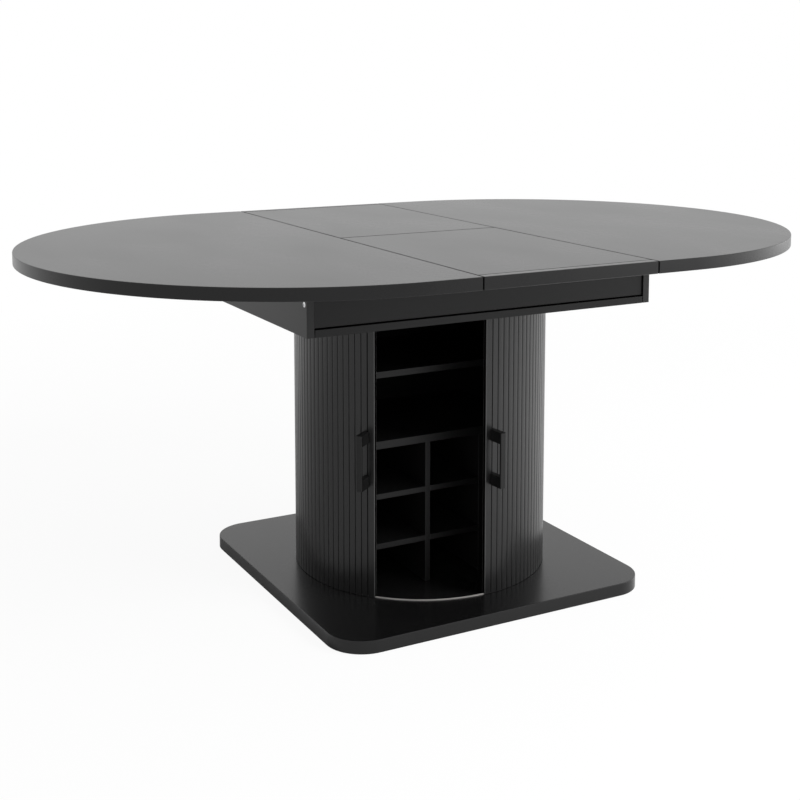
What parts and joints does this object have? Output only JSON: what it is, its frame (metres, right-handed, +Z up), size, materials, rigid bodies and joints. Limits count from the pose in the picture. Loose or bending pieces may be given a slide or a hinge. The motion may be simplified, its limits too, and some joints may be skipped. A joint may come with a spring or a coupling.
{
  "type": "extending pedestal table with tambour cabinet",
  "caption": "Extending oval table on a round fluted cabinet with sliding tambour doors, shelves, a bottle rack and a folding leaf.",
  "frame": {"origin": "on the floor under the middle of the drum", "axes": "+X the way the top extends, -Y the front with the meeting doors, +Z up"},
  "size_m": [1.78, 1.19, 0.775],
  "materials": {
    "tabletop": "black laminate, satin, fine grain",
    "base_board": "black laminate, satin",
    "tray_board": "black laminate, satin",
    "cabinet_board": "black laminate, matt",
    "tambour": "black foil, satin",
    "door_cloth": "black canvas",
    "handle_metal": "black powder coat",
    "rail_aluminium": "brushed",
    "slide_steel": "zinc plated",
    "fastener_steel": "zinc plated",
    "hinge_metal": "turned",
    "glide_plastic": "moulded"
  },
  "bodies": {
    "frame": {"base_plate": "base_board", "base_screws": "fastener_steel", "glide_pads": "glide_plastic", "lower_rail": "rail_aluminium", "side_panel_left": "cabinet_board", "side_panel_right": "cabinet_board", "back_panel": "cabinet_board", "shelf_pins": "fastener_steel", "upper_shelf": "cabinet_board", "rack_top_shelf": "cabinet_board", "rack_divider_left": "cabinet_board", "rack_divider_right": "cabinet_board", "rack_shelf_left_upper": "cabinet_board", "rack_shelf_left_lower": "cabinet_board", "rack_shelf_middle_upper": "cabinet_board", "rack_shelf_middle_lower": "cabinet_board", "rack_shelf_right_upper": "cabinet_board", "rack_shelf_right_lower": "cabinet_board", "back_wall": "tambour", "drum_top": "cabinet_board", "tray_end_left": "tray_board", "tray_end_right": "tray_board", "corner_screws": "fastener_steel", "tray_front": "tray_board", "tray_rear": "tray_board", "tray_floor": "tray_board", "tray_screws": "fastener_steel", "slide_channel_front": "slide_steel", "slide_channel_rear": "slide_steel"},
    "left_top": {"top_left": "tabletop", "slide_carriages_left": "slide_steel", "slide_brackets_left": "slide_steel", "bracket_screws_left": "fastener_steel"},
    "right_top": {"top_right": "tabletop", "slide_carriages_right": "slide_steel", "slide_brackets_right": "slide_steel", "bracket_screws_right": "fastener_steel"},
    "rear_leaf": {"leaf_rear": "tabletop", "leaf_hinges_rear": "hinge_metal"},
    "front_leaf": {"leaf_front": "tabletop", "leaf_hinges_front": "hinge_metal"},
    "left_door": {"door_slats_left": "tambour", "door_stile_left": "tambour", "door_canvas_left": "door_cloth", "door_handle_left": "handle_metal", "handle_screws_left": "fastener_steel"},
    "right_door": {"door_slats_right": "tambour", "door_stile_right": "tambour", "door_canvas_right": "door_cloth", "door_handle_right": "handle_metal", "handle_screws_right": "fastener_steel"}
  },
  "joints": [
    {"name": "left_top_slide", "type": "slide", "parent": "frame", "child": "left_top", "axis": [-1, 0, 0], "range_m": [0, 0.04]},
    {"name": "right_top_slide", "type": "slide", "parent": "frame", "child": "right_top", "axis": [1, 0, 0], "range_m": [0, 0.04]},
    {"name": "leaf_lift", "type": "slide", "parent": "frame", "child": "rear_leaf", "axis": [0, 0, 1], "range_m": [0, 0.15]},
    {"name": "leaf_fold", "type": "hinge", "parent": "rear_leaf", "child": "front_leaf", "pos_m": [0, 0, 0.7753], "axis": [-1, 0, 0], "range_deg": [0, 180]},
    {"name": "left_door_slide", "type": "hinge", "parent": "frame", "child": "left_door", "pos_m": [0, 0, 0], "axis": [0, 0, 1], "range_deg": [0, 48]},
    {"name": "right_door_slide", "type": "hinge", "parent": "frame", "child": "right_door", "pos_m": [0, 0, 0], "axis": [0, 0, 1], "range_deg": [0, 48]}
  ]
}
